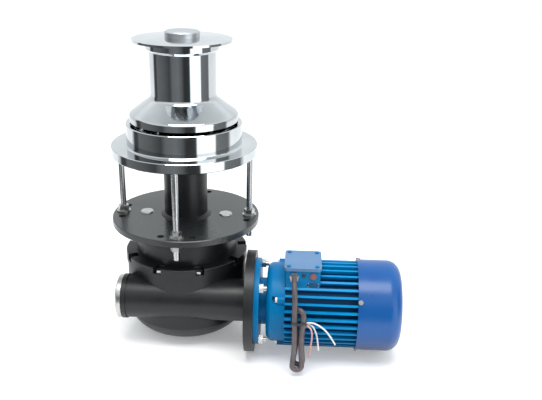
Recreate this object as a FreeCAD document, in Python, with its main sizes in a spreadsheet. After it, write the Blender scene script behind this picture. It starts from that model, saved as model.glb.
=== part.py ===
import FreeCAD, Part
import math
import os
import Sketcher

# Deck capstan with an under-deck worm gearbox and electric motor, in millimetres.
# Frame: +Z up the drum axis, the motor points along +X, and the origin is the centre of the
# underside of the chrome base ring, which is the face that seats on the deck.

SIZES = {
    # deck base
    "ring_radius": 142.5, "ring_height": 19, "base_wall_radius": 112.5, "base_wall": 8.5,
    "base_height": 62, "base_web": 12, "base_foot_fillet": 4, "ring_chamfer": 1.2,
    "base_hub_radius": 50, "seat_shoulder": 5,
    # drum
    "skirt_radius": 105, "skirt_gap": 5, "skirt_height": 12.5, "skirt_wall": 6, "barrel_radius": 63,
    "barrel_foot": 111, "barrel_wall": 8, "lip_radius": 69, "lip_foot": 203, "lip_rise": 5,
    "disc_radius": 94, "disc_rim": 4, "disc_height": 221, "disc_crown": 3.5,
    "flare_round": 14, "shoulder_round": 8, "drum_hub_radius": 34, "drum_hub_foot": 150,
    "drum_recess_radius": 29, "drum_recess_floor": 206, "cap_radius": 33, "cap_height": 10.5,
    "cap_chamfer": 2, "cap_spigot": 5,
    # main shaft, its bearings and seals
    "shaft_radius": 20, "bearing_radius": 40, "bearing_width": 18, "race_mid": 30.5,
    "race_gap": 0.3, "seal_height": 6, "running_fit": 0.05, "key_width": 10, "key_depth": 8,
    "key_length": 40, "shaft_nut_radius": 28, "shaft_nut_height": 12, "shaft_end": 219,
    "shaft_collar_radius": 27, "wheel_seat_radius": 22, "sleeve_radius": 26,
    # stand tube and tie rods
    "tube_radius": 43, "tube_wall": 7, "tube_seat": 6, "tube_collar_radius": 51,
    "tube_collar_height": 5, "rod_radius": 6, "rod_circle": 128, "rod_thread_depth": 13,
    "rod_tail": 32, "nut_flats": 19, "nut_height": 10.5, "washer_radius": 14,
    "washer_height": 2.5, "fit_gap": 0.1, "hole_gap": 0.6,
    # mounting plate
    "plate_radius": 147, "plate_height": 13, "plate_drop": 129.5, "spare_hole_radius": 6.8,
    "spare_hole_angle": 13.5, "plate_screw_radius": 13.5, "plate_screw_circle": 80,
    "plate_screw_head": 2, "plate_screw_shank": 6, "plate_screw_depth": 22,
    # gearbox cover
    "neck_radius": 101, "cover_lip": 2, "cover_height": 20, "cover_bolt_inset": 8,
    "cover_bolt_count": 9, "notch_width": 17,
    "notch_floor": 8, "cover_bolt_radius": 4, "cover_bolt_flats": 13, "cover_bolt_head": 6.5,
    "cover_bolt_length": 22, "spigot_height": 5, "cover_wall": 8, "cover_web": 12,
    # gear housing
    "housing_radius": 121, "housing_wall": 9, "rim_wall": 17, "rim_depth": 18, "housing_rise": 55.5,
    "bowl_depth": 94.5, "bowl_curve_width": 58,
    "bowl_curve_height": 40, "housing_floor": 10, "boss_wall": 10,
    "floor_pit": 3,
    # worm line
    "centre_distance": 87.5, "worm_drop": 277, "worm_tube_radius": 42, "worm_collar_radius": 44,
    "worm_collar_width": 9, "worm_tube_inset": 7, "worm_cap_height": 10, "worm_cap_radius": 42.5,
    "plug_flats": 12, "plug_height": 7, "plug_offset": 20, "plug_radius": 4,
    "input_flange_face": 148, "input_flange_width": 18, "input_flange_radius": 100,
    "gear_module": 3.5, "wheel_teeth": 40, "wheel_width": 28, "worm_length": 62, "backlash": 0.8,
    "wheel_hub_radius": 34, "wheel_hub_width": 44, "wheel_web": 14,
    "input_bearing_radius": 36, "input_bearing_width": 17, "input_journal": 17.5,
    "input_race_mid": 27, "bearing_place": 78, "worm_bore": 30, "boss_place": 72,
    "worm_neck_radius": 16, "input_shaft_end": 140, "input_bore_depth": 52,
    # motor
    "motor_shaft_radius": 12, "motor_shaft_start": 90, "motor_key_start": 100,
    "motor_key_length": 30, "motor_key_width": 8, "motor_key_depth": 6, "end_flange_radius": 85,
    "end_flange_width": 10, "end_neck_radius": 46, "end_neck_width": 13, "end_bell_radius": 78,
    "end_bell_width": 36, "end_round": 14, "lug_radius": 8, "lug_length": 14,
    "lug_circle": 77, "side_turn": 60, "shield_bolt_flats": 10, "shield_bolt_head": 4,
    "shield_bolt_shank": 3, "shield_bolt_depth": 13,
    "spot_face_radius": 6.5, "spot_face_depth": 10, "end_wall": 13, "end_lip": 5, "end_boss_wall": 7,
    "shield_bore": 14, "spigot_wall": 6,
    "frame_radius": 72, "frame_wall": 6, "frame_length": 138, "fin_tip": 85,
    "fin_width": 4.4, "fin_count": 36, "cowl_radius": 88.5, "cowl_wall": 2, "cowl_length": 85,
    "cowl_corner": 26, "slot_width": 4, "slot_inner": 22, "slot_outer": 56,
    "slot_count": 18, "rear_shield_width": 8, "stator_bore": 45.5, "stator_start": 214,
    "stator_length": 96, "rotor_radius": 45, "winding_length": 17, "winding_inner": 47,
    "winding_outer": 58, "fan_radius": 68, "fan_width": 20, "fan_hub_radius": 16,
    "fan_start": 370, "fan_disc": 3, "blade_width": 2.5, "blade_count": 7, "fan_journal": 9,
    "small_journal": 12.5, "small_bearing_radius": 26, "small_bearing_width": 15,
    "small_race_mid": 19, "rotor_shaft_radius": 17, "stud_circle": 78, "stud_radius": 5,
    "stud_reach": 14, "stud_depth": 12, "stud_nut_flats": 16, "stud_nut_height": 8,
    "cowl_screw_head": 4.5, "cowl_screw_shank": 2, "cowl_screw_depth": 6,
    "cowl_screw_height": 2.5,
    # terminal box
    "box_front": 146, "box_depth": 78, "box_start": 206, "box_length": 67, "lid_rise": 102,
    "box_height": 41, "box_wall": 4, "box_corner": 5, "lid_height": 6, "lid_overhang": 1.5,
    "lid_screw_inset": 7, "lid_screw_head": 4, "lid_screw_shank": 2, "lid_screw_height": 2,
    "box_floor": 3, "lid_recess": 4, "lid_recess_inset": 12, "post_radius": 4.5,
    "board_length": 40, "board_depth": 20, "board_height": 5, "terminal_radius": 2.5,
    "terminal_height": 4, "terminal_pitch": 12, "terminal_rows": 10, "gland_flats": 16, "gland_base": 5,
    "gland_nut_radius": 7.5, "gland_nut_height": 9, "gland_place": 223.5, "gland_rise": 86,
    "blank_place": 259, "blank_radius": 6, "blank_height": 2.5,
    # cable, its hank and stripped cores
    "cable_radius": 5, "core_radius": 1.6, "hank_width": 30, "hank_depth": 28,
    "hank_place": 234, "hank_reach": 44, "hank_fall": 43, "hank_length": 134, "hank_round": 9,
    "cable_reach": 13, "cable_bow": 26.5, "cable_fall": 12.5, "cable_drop": 15,
    "core_fall": 28, "core_pitch": 6, "white_reach": 55, "white_drop": 50, "pale_reach": 24,
    "pale_drop": 57, "pink_reach": 11, "pink_drop": 62,
}

doc = FreeCAD.newDocument("DeckCapstan")
sheet = doc.addObject("Spreadsheet::Sheet", "Sizes")


class Size:
    """A length held both as a number and as the spreadsheet expression that gives it."""

    def __init__(self, value, text):
        self.value = value
        self.text = text

    def __float__(self):
        return float(self.value)

    def _join(self, sign, other, value, swap=False):
        text = other.text if isinstance(other, Size) else repr(float(other))
        first, second = (text, self.text) if swap else (self.text, text)
        return Size(value, "(" + first + " " + sign + " " + second + ")")

    def __add__(self, other):
        return self._join("+", other, self.value + float(other))

    __radd__ = __add__

    def __sub__(self, other):
        return self._join("-", other, self.value - float(other))

    def __rsub__(self, other):
        return self._join("-", other, float(other) - self.value, True)

    def __mul__(self, other):
        return self._join("*", other, self.value * float(other))

    __rmul__ = __mul__

    def __truediv__(self, other):
        return self._join("/", other, self.value / float(other))

    def __neg__(self):
        return 0 - self


class Sizes:
    """Gives every cell of the sheet by its alias."""

    def __init__(self, table):
        for row, (alias, number) in enumerate(table.items(), 1):
            sheet.set("A%d" % row, alias)
            sheet.set("B%d" % row, str(number))
            sheet.setAlias("B%d" % row, alias)
            setattr(self, alias, Size(float(number), "Sizes." + alias))


d = Sizes(SIZES)
doc.recompute()
nodes = []
Y_AXIS = FreeCAD.Vector(0, 1, 0)
Z_AXIS = FreeCAD.Vector(0, 0, 1)
ALONG_X = FreeCAD.Rotation(Y_AXIS, 90)


def body(label, keep=True):
    """A new body, listed for export unless it is only a tool for another piece."""
    made = doc.addObject("PartDesign::Body", label)
    made.Label = label
    if keep:
        nodes.append(made)
    return made


def keep(made, label):
    made.Label = label
    nodes.append(made)
    return made


def bind(thing, path, size):
    """Sets a property and ties it to the sheet when the size came from there."""
    if isinstance(size, Size):
        thing.setExpression(path, size.text)


def place(made, x=0, y=0, z=0, turn=FreeCAD.Rotation()):
    made.Placement = FreeCAD.Placement(FreeCAD.Vector(float(x), float(y), float(z)), turn)
    for axis, size in zip("xyz", (x, y, z)):
        bind(made, "Placement.Base." + axis, size)
    return made


def on_worm_line(made, spin=0):
    """Turns a piece so that its own Z lies along the worm and motor axis."""
    turn = ALONG_X.multiply(FreeCAD.Rotation(Z_AXIS, spin))
    return place(made, 0, -d.centre_distance, -d.worm_drop, turn)


def sketch_on(owner, role, height=0):
    drawn = owner.newObject("Sketcher::SketchObject", "Sketch")
    plane = next(f for f in owner.Origin.OriginFeatures if f.Role == role)
    drawn.AttachmentSupport = [(plane, "")]
    drawn.MapMode = "FlatFace"
    drawn.AttachmentOffset = FreeCAD.Placement(FreeCAD.Vector(0, 0, float(height)), FreeCAD.Rotation())
    bind(drawn, "AttachmentOffset.Base.z", height)
    return drawn


def hold(drawn, geometry, point, x, y):
    """Holds a point of the sketch at x and y."""
    for kind, size, axis in (("DistanceX", x, -2), ("DistanceY", y, -1)):
        if not isinstance(size, Size) and size == 0:
            drawn.addConstraint(Sketcher.Constraint("PointOnObject", geometry, point, axis))
        else:
            limit = Sketcher.Constraint(kind, -1, 1, geometry, point, float(size))
            bind(drawn, "Constraints[%d]" % drawn.addConstraint(limit), size)


def edge_between(start, end, radius):
    """A straight edge, or an arc of the radius that bulges to the right of the way from start to end."""
    if not radius:
        return Part.LineSegment(start, end)
    chord = end - start
    right = FreeCAD.Vector(chord.y, -chord.x, 0).normalize() * (1 if float(radius) > 0 else -1)
    reach = abs(float(radius))
    rise = reach - math.sqrt(reach ** 2 - chord.Length ** 2 / 4)
    middle = (start + end) * 0.5 + right * rise
    return Part.Arc(start, middle, end) if float(radius) > 0 else Part.Arc(end, middle, start)


def outline(drawn, corners):
    """A closed outline; a corner with a third value starts an arc of that radius."""
    first = drawn.GeometryCount
    points = [FreeCAD.Vector(float(c[0]), float(c[1]), 0) for c in corners]
    count = len(points)
    for i, corner in enumerate(corners):
        radius = corner[2] if len(corner) > 2 else None
        edge = edge_between(points[i], points[(i + 1) % count], radius)
        drawn.addGeometry(edge, False)
        made = drawn.Geometry[first + i]
        flipped = radius and (made.StartPoint - points[i]).Length > 1e-6
        corner_ends = (2, 1) if flipped else (1, 2)
        ends = corner_ends if i == 0 else ends + corner_ends
    for i, corner in enumerate(corners):
        before = (i - 1) % count
        join = (first + i, ends[2 * i], first + before, ends[2 * before + 1])
        drawn.addConstraint(Sketcher.Constraint("Coincident", *join))
        hold(drawn, first + i, ends[2 * i], corner[0], corner[1])
        if len(corner) > 2:
            size = corner[2] if float(corner[2]) > 0 else -corner[2]
            limit = Sketcher.Constraint("Radius", first + i, float(size))
            bind(drawn, "Constraints[%d]" % drawn.addConstraint(limit), size)


def circles(drawn, centres, radius):
    for x, y in centres:
        centre = FreeCAD.Vector(float(x), float(y), 0)
        geometry = drawn.addGeometry(Part.Circle(centre, Z_AXIS, float(radius)), False)
        hold(drawn, geometry, 3, x, y)
        limit = Sketcher.Constraint("Radius", geometry, float(radius))
        bind(drawn, "Constraints[%d]" % drawn.addConstraint(limit), radius)


def turned(label, corners, kept=True):
    """A piece turned about its own Z from an outline of radius and height."""
    made = body(label, kept)
    drawn = sketch_on(made, "XZ_Plane")
    outline(drawn, corners)
    turn = made.newObject("PartDesign::Revolution", "Turn")
    turn.Profile = drawn
    turn.ReferenceAxis = (drawn, ["V_Axis"])
    turn.Angle = 360
    made.Tip = turn
    doc.recompute()
    return made


def ring(label, inner, outer, foot, height, kept=True):
    top = foot + height
    return turned(label, [(inner, foot), (outer, foot), (outer, top), (inner, top)], kept)


def padded(made, height, foot, corners=None, centres=None, radius=None):
    """Adds a straight boss of an outline or of circles, from foot upwards."""
    drawn = sketch_on(made, "XY_Plane", foot)
    if corners:
        outline(drawn, corners)
    if centres:
        circles(drawn, centres, radius)
    pad = made.newObject("PartDesign::Pad", "Pad")
    pad.Profile = drawn
    pad.Length = float(height)
    bind(pad, "Length", height)
    made.Tip = pad
    doc.recompute()
    return pad


def cut(made, depth, top, corners=None, centres=None, radius=None, upward=False):
    """Cuts an outline or circles from top downwards, or upwards, and proves that it cut."""
    before = made.Shape.Volume
    drawn = sketch_on(made, "XY_Plane", top)
    if corners:
        outline(drawn, corners)
    if centres:
        circles(drawn, centres, radius)
    pocket = made.newObject("PartDesign::Pocket", "Pocket")
    pocket.Profile = drawn
    pocket.Length = float(depth)
    pocket.Reversed = upward
    bind(pocket, "Length", depth)
    made.Tip = pocket
    doc.recompute()
    if made.Shape.Volume > before - 0.01:
        raise RuntimeError("a pocket of " + made.Label + " cuts nothing")
    return pocket


def pattern(made, feature, count, role="Z_Axis"):
    """Repeats a feature round the piece's own Z."""
    turn = made.newObject("PartDesign::PolarPattern", "Pattern")
    turn.Originals = [feature]
    turn.Axis = (next(f for f in made.Origin.OriginFeatures if f.Role == role), [""])
    turn.Angle = 360
    turn.Occurrences = int(float(count))
    bind(turn, "Occurrences", count)
    made.Tip = turn
    doc.recompute()
    return turn


def round_edges(made, size, spots, kind="Fillet"):
    """Fillets or chamfers the circular edges at each radius and height given."""
    base = made.Tip
    names = []
    for i, edge in enumerate(base.Shape.Edges, 1):
        curve = edge.Curve
        if curve.TypeId != "Part::GeomCircle":
            continue
        for radius, height in spots:
            level = abs(curve.Center.z - float(height)) < 0.01
            if level and abs(curve.Radius - float(radius)) < 0.01:
                names.append("Edge%d" % i)
    if not names:
        raise RuntimeError("no edge to round on " + made.Label)
    smooth = made.newObject("PartDesign::" + kind, kind)
    smooth.Base = (base, names)
    path = "Radius" if kind == "Fillet" else "Size"
    setattr(smooth, path, float(size))
    bind(smooth, path, size)
    made.Tip = smooth
    doc.recompute()


def on_circle(radius, count, start=0):
    """Centres spaced evenly on a circle, the first at the start angle in degrees."""
    angles = [math.radians(start + 360 * i / count) for i in range(count)]
    return [(radius * math.cos(a), radius * math.sin(a)) for a in angles]


def cylinder(radius, height, x=0, y=0, z=0, turn=FreeCAD.Rotation()):
    made = doc.addObject("Part::Cylinder", "Cylinder")
    made.Radius = float(radius)
    made.Height = float(height)
    bind(made, "Radius", radius)
    bind(made, "Height", height)
    return place(made, x, y, z, turn)


def worm_cylinder(radius, start, length):
    """A cylinder on the worm and motor axis, from start along +X."""
    return cylinder(radius, length, start, -d.centre_distance, -d.worm_drop, ALONG_X)


def block(length, width, height, x, y, z):
    made = doc.addObject("Part::Box", "Box")
    for path, size in (("Length", length), ("Width", width), ("Height", height)):
        setattr(made, path, float(size))
        bind(made, path, size)
    return place(made, x, y, z)


def fused(parts):
    made = doc.addObject("Part::MultiFuse", "Fusion")
    made.Shapes = parts
    return made


def less(base, tool):
    made = doc.addObject("Part::Cut", "Cut")
    made.Base = base
    made.Tool = tool
    return made


def group(label, shapes):
    """One node that holds identical loose pieces as separate solids."""
    made = doc.addObject("Part::Feature", label)
    made.Shape = Part.makeCompound(shapes)
    return keep(made, label)


def copies(made, places, turn=FreeCAD.Rotation()):
    """Copies of a tool piece's shape, moved to each place."""
    doc.recompute()
    moved = []
    for x, y, z in places:
        shape = made.Shape.copy()
        spot = FreeCAD.Placement(FreeCAD.Vector(float(x), float(y), float(z)), turn)
        shape.Placement = spot.multiply(shape.Placement)
        moved.append(shape)
    return moved


def hexagon(flats):
    across = flats / math.sqrt(3)
    return [(across * math.cos(math.radians(60 * i)), across * math.sin(math.radians(60 * i)))
            for i in range(6)]


def hex_head(name, flats, height, shank=None, length=0, bore=None):
    """A hexagon nut with a bore, or a bolt with its shank below the head."""
    made = body(name, False)
    padded(made, height, 0, corners=hexagon(flats))
    if shank:
        padded(made, length, -length, centres=[(0, 0)], radius=shank)
    if bore:
        cut(made, height, height, centres=[(0, 0)], radius=bore)
    return made


# ---------------------------------------------------------------- deck base, the polished ring
seat_floor = 2 * d.bearing_width
seal_foot = seat_floor + d.bearing_width
hub_height = seal_foot + d.seal_height
base = turned("deck_base", [
    (d.tube_radius + d.fit_gap, 0), (d.ring_radius, 0), (d.ring_radius, d.ring_height),
    (d.base_wall_radius, d.ring_height), (d.base_wall_radius, d.base_height),
    (d.base_wall_radius - d.base_wall, d.base_height),
    (d.base_wall_radius - d.base_wall, d.base_web), (d.base_hub_radius, d.base_web),
    (d.base_hub_radius, hub_height), (d.bearing_radius, hub_height),
    (d.bearing_radius, seat_floor), (d.bearing_radius - d.seat_shoulder, seat_floor),
    (d.bearing_radius - d.seat_shoulder, d.tube_seat), (d.tube_radius + d.fit_gap, d.tube_seat)])
round_edges(base, d.base_foot_fillet, [(d.base_wall_radius, d.ring_height)])
round_edges(base, d.ring_chamfer, [(d.ring_radius, d.ring_height), (d.ring_radius, 0),
                                   (d.base_wall_radius, d.base_height)], "Chamfer")
rod_places = on_circle(d.rod_circle, 4)
cut(base, d.rod_thread_depth, 0, centres=rod_places, radius=d.rod_radius + d.fit_gap, upward=True)

# ---------------------------------------------------------------- stand tube below the deck
plate_top = -d.plate_drop
plate_foot = plate_top - d.plate_height
tube_foot = plate_top - d.tube_collar_height
tube_bore = d.tube_radius - d.tube_wall
turned("stand_tube", [
    (tube_bore, tube_foot), (d.tube_radius, tube_foot), (d.tube_radius, plate_top),
    (d.tube_collar_radius, plate_top), (d.tube_radius, plate_top + d.tube_collar_height),
    (d.tube_radius, d.tube_seat), (tube_bore, d.tube_seat)])

# ---------------------------------------------------------------- mounting plate and tie rods
plate = ring("mounting_plate", d.tube_radius - 2 * d.tube_wall, d.plate_radius, plate_foot,
             d.plate_height)
round_edges(plate, d.ring_chamfer, [(d.plate_radius, plate_top), (d.plate_radius, plate_foot)],
            "Chamfer")
cut(plate, d.tube_collar_height, plate_top, centres=[(0, 0)], radius=d.tube_radius + d.fit_gap)
cut(plate, d.plate_height, plate_top, centres=rod_places, radius=d.rod_radius + d.hole_gap)
turn_by = SIZES["spare_hole_angle"]
spare_places = on_circle(d.rod_circle, 4, turn_by) + on_circle(d.rod_circle, 4, -turn_by)
cut(plate, d.plate_height, plate_top, centres=spare_places, radius=d.spare_hole_radius)
plate_screw_places = on_circle(d.plate_screw_circle, 2)
cut(plate, d.plate_height, plate_top, centres=plate_screw_places,
    radius=d.plate_screw_shank + d.fit_gap)

rod = ring("rod", 0, d.rod_radius, plate_foot - d.rod_tail,
           d.rod_thread_depth + d.rod_tail - plate_foot, False)
group("tie_rods", copies(rod, [(x, y, 0) for x, y in rod_places]))
washer = ring("washer", d.rod_radius + d.fit_gap, d.washer_radius, 0, d.washer_height, False)
group("tie_rod_washers", copies(washer, [(x, y, z) for x, y in rod_places
                                         for z in (plate_top, plate_foot - d.washer_height)]))
nut = hex_head("nut", d.nut_flats, d.nut_height, bore=d.rod_radius + d.fit_gap)
nut_levels = (plate_top + d.washer_height, plate_foot - d.washer_height - d.nut_height)
group("tie_rod_nuts", copies(nut, [(x, y, z) for x, y in rod_places for z in nut_levels]))
screw = turned("plate_screw", [
    (0, -d.plate_screw_depth), (d.plate_screw_shank, -d.plate_screw_depth),
    (d.plate_screw_shank, 0), (d.plate_screw_radius, 0),
    (d.plate_screw_radius - d.ring_chamfer, d.plate_screw_head), (0, d.plate_screw_head)], False)
group("plate_screws", copies(screw, [(x, y, plate_top) for x, y in plate_screw_places]))

# ---------------------------------------------------------------- gearbox cover and its bolts
cover_foot = d.housing_rise - d.worm_drop
cover_top = cover_foot + d.cover_height
cover_radius = d.housing_radius + d.cover_lip
bolt_circle = d.housing_radius - d.cover_bolt_inset
worm_tube_end = d.housing_radius - d.worm_tube_inset
cover_seat_top = plate_foot - d.seal_height
cover_seat_foot = cover_seat_top - d.bearing_width
hub_foot = cover_seat_foot - d.seat_shoulder
housing_bore = d.housing_radius - d.housing_wall
rim_bore = d.housing_radius - d.rim_wall
neck_bore = d.neck_radius - d.cover_wall
web_foot = plate_foot - d.cover_web
cover = turned("gearbox_cover", [
    (d.neck_radius, plate_foot), (d.neck_radius, cover_top), (cover_radius, cover_top),
    (cover_radius, cover_foot), (rim_bore - d.fit_gap, cover_foot),
    (rim_bore - d.fit_gap, cover_foot - d.spigot_height),
    (rim_bore - d.cover_wall, cover_foot - d.spigot_height),
    (rim_bore - d.cover_wall, cover_foot + d.cover_wall), (neck_bore, cover_top),
    (neck_bore, web_foot), (d.bearing_radius + d.boss_wall, web_foot),
    (d.bearing_radius + d.boss_wall, hub_foot), (d.bearing_radius - d.seat_shoulder, hub_foot),
    (d.bearing_radius - d.seat_shoulder, cover_seat_foot), (d.bearing_radius, cover_seat_foot),
    (d.bearing_radius, plate_foot)])
round_edges(cover, d.ring_chamfer, [(cover_radius, cover_top)], "Chamfer")
half_notch = d.notch_width / 2
notch_start = bolt_circle - half_notch
notch_end = cover_radius + 1
notch = cut(cover, d.cover_height - d.notch_floor, cover_top,
            corners=[(-half_notch, notch_start), (half_notch, notch_start),
                     (half_notch, notch_end), (-half_notch, notch_end)])
pattern(cover, notch, d.cover_bolt_count)
bolt_hole = cut(cover, d.cover_height, cover_top, centres=[(0, bolt_circle)],
                radius=d.cover_bolt_radius + d.fit_gap)
pattern(cover, bolt_hole, d.cover_bolt_count)
cut(cover, d.plate_screw_depth - d.plate_height + d.fit_gap, plate_foot,
    centres=plate_screw_places, radius=d.plate_screw_shank + d.fit_gap)
cover_bolt = hex_head("cover_bolt", d.cover_bolt_flats, d.cover_bolt_head,
                      shank=d.cover_bolt_radius, length=d.cover_bolt_length)
cover_bolt_places = on_circle(bolt_circle, SIZES["cover_bolt_count"], 90)
group("cover_bolts", copies(cover_bolt, [(x, y, cover_foot + d.notch_floor)
                                         for x, y in cover_bolt_places]))

# ---------------------------------------------------------------- gear housing with its worm tube
bowl_foot = -d.worm_drop - d.bowl_depth
curve_top = bowl_foot + d.bowl_curve_height
bowl_flat = d.housing_radius - d.bowl_curve_width


def round_of(width, height):
    """Radius of the arc that leaves a flat floor smoothly and rises by height over width."""
    return (width * width + height * height) / (2 * height)


bowl = turned("bowl", [
    (0, bowl_foot), (bowl_flat, bowl_foot, round_of(d.bowl_curve_width, d.bowl_curve_height)),
    (d.housing_radius, curve_top),
    (d.housing_radius, cover_foot), (0, cover_foot)], False)
floor_top = bowl_foot + d.housing_floor
rim_foot = cover_foot - d.rim_depth
hollow = turned("hollow", [
    (0, floor_top),
    (bowl_flat, floor_top, round_of(housing_bore - bowl_flat, curve_top - floor_top)),
    (housing_bore, curve_top), (housing_bore, rim_foot - d.housing_wall), (rim_bore, rim_foot),
    (rim_bore, cover_foot), (0, cover_foot)], False)
flange_back = d.input_flange_face - d.input_flange_width
collar_end = -worm_tube_end + d.worm_collar_width
worm_tube = turned("worm_tube", [
    (0, -worm_tube_end), (d.worm_collar_radius, -worm_tube_end),
    (d.worm_collar_radius, collar_end), (d.worm_tube_radius, collar_end),
    (d.worm_tube_radius, flange_back), (d.input_flange_radius, flange_back),
    (d.input_flange_radius, d.input_flange_face), (0, d.input_flange_face)], False)
on_worm_line(worm_tube)
casting = fused([bowl, worm_tube])
shell = less(casting, hollow)
boss_radius = d.bearing_radius + d.boss_wall
lower_boss = cylinder(boss_radius, d.bearing_width, z=floor_top)
inner_boss = worm_cylinder(d.worm_tube_radius, -worm_tube_end, worm_tube_end - d.boss_place)
input_boss = worm_cylinder(d.worm_tube_radius, d.boss_place, d.input_flange_face - d.boss_place)
bossed = fused([shell, lower_boss, inner_boss, input_boss])
small_seat = worm_cylinder(d.small_bearing_radius, -worm_tube_end - 1, worm_tube_end)
input_seat = worm_cylinder(d.input_bearing_radius, d.bearing_place, d.input_flange_face)
worm_bore = worm_cylinder(d.worm_bore, -d.boss_place, d.boss_place + d.bearing_place)
lower_seat = cylinder(d.bearing_radius, 2 * d.bearing_width, z=floor_top)
pit = cylinder(d.bearing_radius - d.seat_shoulder, d.bearing_width, z=floor_top - d.floor_pit)
stud_places = on_circle(d.stud_circle, 4, 45)
stud_foot = d.input_flange_face - d.stud_depth
stud_holes = [cylinder(d.stud_radius + d.fit_gap, d.stud_depth + 1, stud_foot,
                       y - d.centre_distance, x - d.worm_drop, ALONG_X) for x, y in stud_places]
bolt_tips = cover_foot + d.notch_floor - d.cover_bolt_length - d.fit_gap
bolt_holes = [cylinder(d.cover_bolt_radius + d.fit_gap, cover_foot - bolt_tips + 1, x, y, bolt_tips)
              for x, y in cover_bolt_places]
bores = fused([small_seat, input_seat, worm_bore, lower_seat, pit] + stud_holes + bolt_holes)
keep(less(bossed, bores), "gear_housing")

end_cap = turned("worm_end_cap", [
    (0, -worm_tube_end - d.worm_cap_height), (d.worm_cap_radius - d.cap_chamfer,
                                                -worm_tube_end - d.worm_cap_height),
    (d.worm_cap_radius, -worm_tube_end - d.worm_cap_height + d.cap_chamfer),
    (d.worm_cap_radius, -worm_tube_end),
    (d.small_bearing_radius - d.fit_gap, -worm_tube_end),
    (d.small_bearing_radius - d.fit_gap, -worm_tube_end + d.spigot_height),
    (0, -worm_tube_end + d.spigot_height)])
cut(end_cap, d.worm_cap_height, -worm_tube_end, centres=[(d.plug_offset, 0)],
    radius=d.plug_radius + d.fit_gap)
on_worm_line(end_cap)
level_plug = hex_head("level_plug_tool", d.plug_flats, d.plug_height, shank=d.plug_radius,
                      length=d.worm_cap_height)
plug_turn = FreeCAD.Rotation(Y_AXIS, -90)
group("level_plug", copies(level_plug, [(-worm_tube_end - d.worm_cap_height,
                                         -d.centre_distance, -d.worm_drop - d.plug_offset)],
                           plug_turn))


# ---------------------------------------------------------------- bearings and seals
def races(bore, middle, outer, width):
    """Outer and inner ring of a sealed bearing, foot at zero, as tool pieces."""
    gap = d.race_gap / 2
    return (ring("outer_race", middle + gap, outer, 0, width, False),
            ring("inner_race", bore, middle - gap, 0, width, False))


outer_race, inner_race = races(d.shaft_radius, d.race_mid, d.bearing_radius, d.bearing_width)
main_places = [(0, 0, z) for z in (seat_floor, cover_seat_foot, floor_top)]
group("main_bearing_outers", copies(outer_race, main_places))
group("main_bearing_inners", copies(inner_race, main_places))
small_outer, small_inner = races(d.small_journal, d.small_race_mid, d.small_bearing_radius,
                                 d.small_bearing_width)
bell_foot = d.input_flange_face + d.end_flange_width + d.end_neck_width
frame_foot = bell_foot + d.end_bell_width
frame_top = frame_foot + d.frame_length
rear_seat = frame_top - d.end_lip + 1
small_places = [(x, -d.centre_distance, -d.worm_drop) for x in (
    -d.bearing_place - d.small_bearing_width, bell_foot + d.end_lip, rear_seat)]
group("small_bearing_outers", copies(small_outer, small_places, ALONG_X))
group("small_bearing_inners", copies(small_inner, small_places, ALONG_X))
input_outer, input_inner = races(d.input_journal, d.input_race_mid, d.input_bearing_radius,
                                 d.input_bearing_width)
input_place = [(d.bearing_place, -d.centre_distance, -d.worm_drop)]
group("input_bearing_outer", copies(input_outer, input_place, ALONG_X))
group("input_bearing_inner", copies(input_inner, input_place, ALONG_X))
ring("upper_seal", d.sleeve_radius + d.running_fit, d.bearing_radius, seal_foot, d.seal_height)
ring("cover_seal", d.shaft_radius + d.running_fit, d.bearing_radius, cover_seat_top,
     d.seal_height)
input_seal_foot = d.bearing_place + d.input_bearing_width
on_worm_line(ring("input_seal", d.input_journal + d.running_fit, d.input_bearing_radius,
                  input_seal_foot, d.seal_height))

# ---------------------------------------------------------------- main shaft line
wheel_level = -d.worm_drop
half_hub = d.wheel_hub_width / 2
hub_top_level = wheel_level + half_hub
hub_foot_level = wheel_level - half_hub
shaft = turned("main_shaft", [
    (0, floor_top), (d.shaft_radius, floor_top), (d.shaft_radius, hub_foot_level),
    (d.wheel_seat_radius, hub_foot_level), (d.wheel_seat_radius, hub_top_level),
    (d.shaft_collar_radius, hub_top_level), (d.shaft_collar_radius, cover_seat_foot),
    (d.shaft_radius, cover_seat_foot), (d.shaft_radius, d.shaft_end), (0, d.shaft_end)])


def keyway(radius, depth, width):
    """The section of a key half sunk in a shaft of the radius."""
    near = radius - depth / 2
    far = radius + depth / 2
    return [(near, -width / 2), (far, -width / 2), (far, width / 2), (near, width / 2)]


drum_key_section = keyway(d.shaft_radius, d.key_depth, d.key_width)
wheel_key_section = keyway(d.wheel_seat_radius, d.key_depth, d.key_width)
drum_key_top = d.drum_hub_foot + d.key_length + d.key_depth
cut(shaft, d.key_length, drum_key_top, corners=drum_key_section)
wheel_key_top = hub_top_level - d.seat_shoulder / 2
cut(shaft, d.key_length, wheel_key_top, corners=wheel_key_section)
padded(body("drum_key"), d.key_length, drum_key_top - d.key_length, corners=drum_key_section)
padded(body("wheel_key"), d.key_length, wheel_key_top - d.key_length, corners=wheel_key_section)

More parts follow.
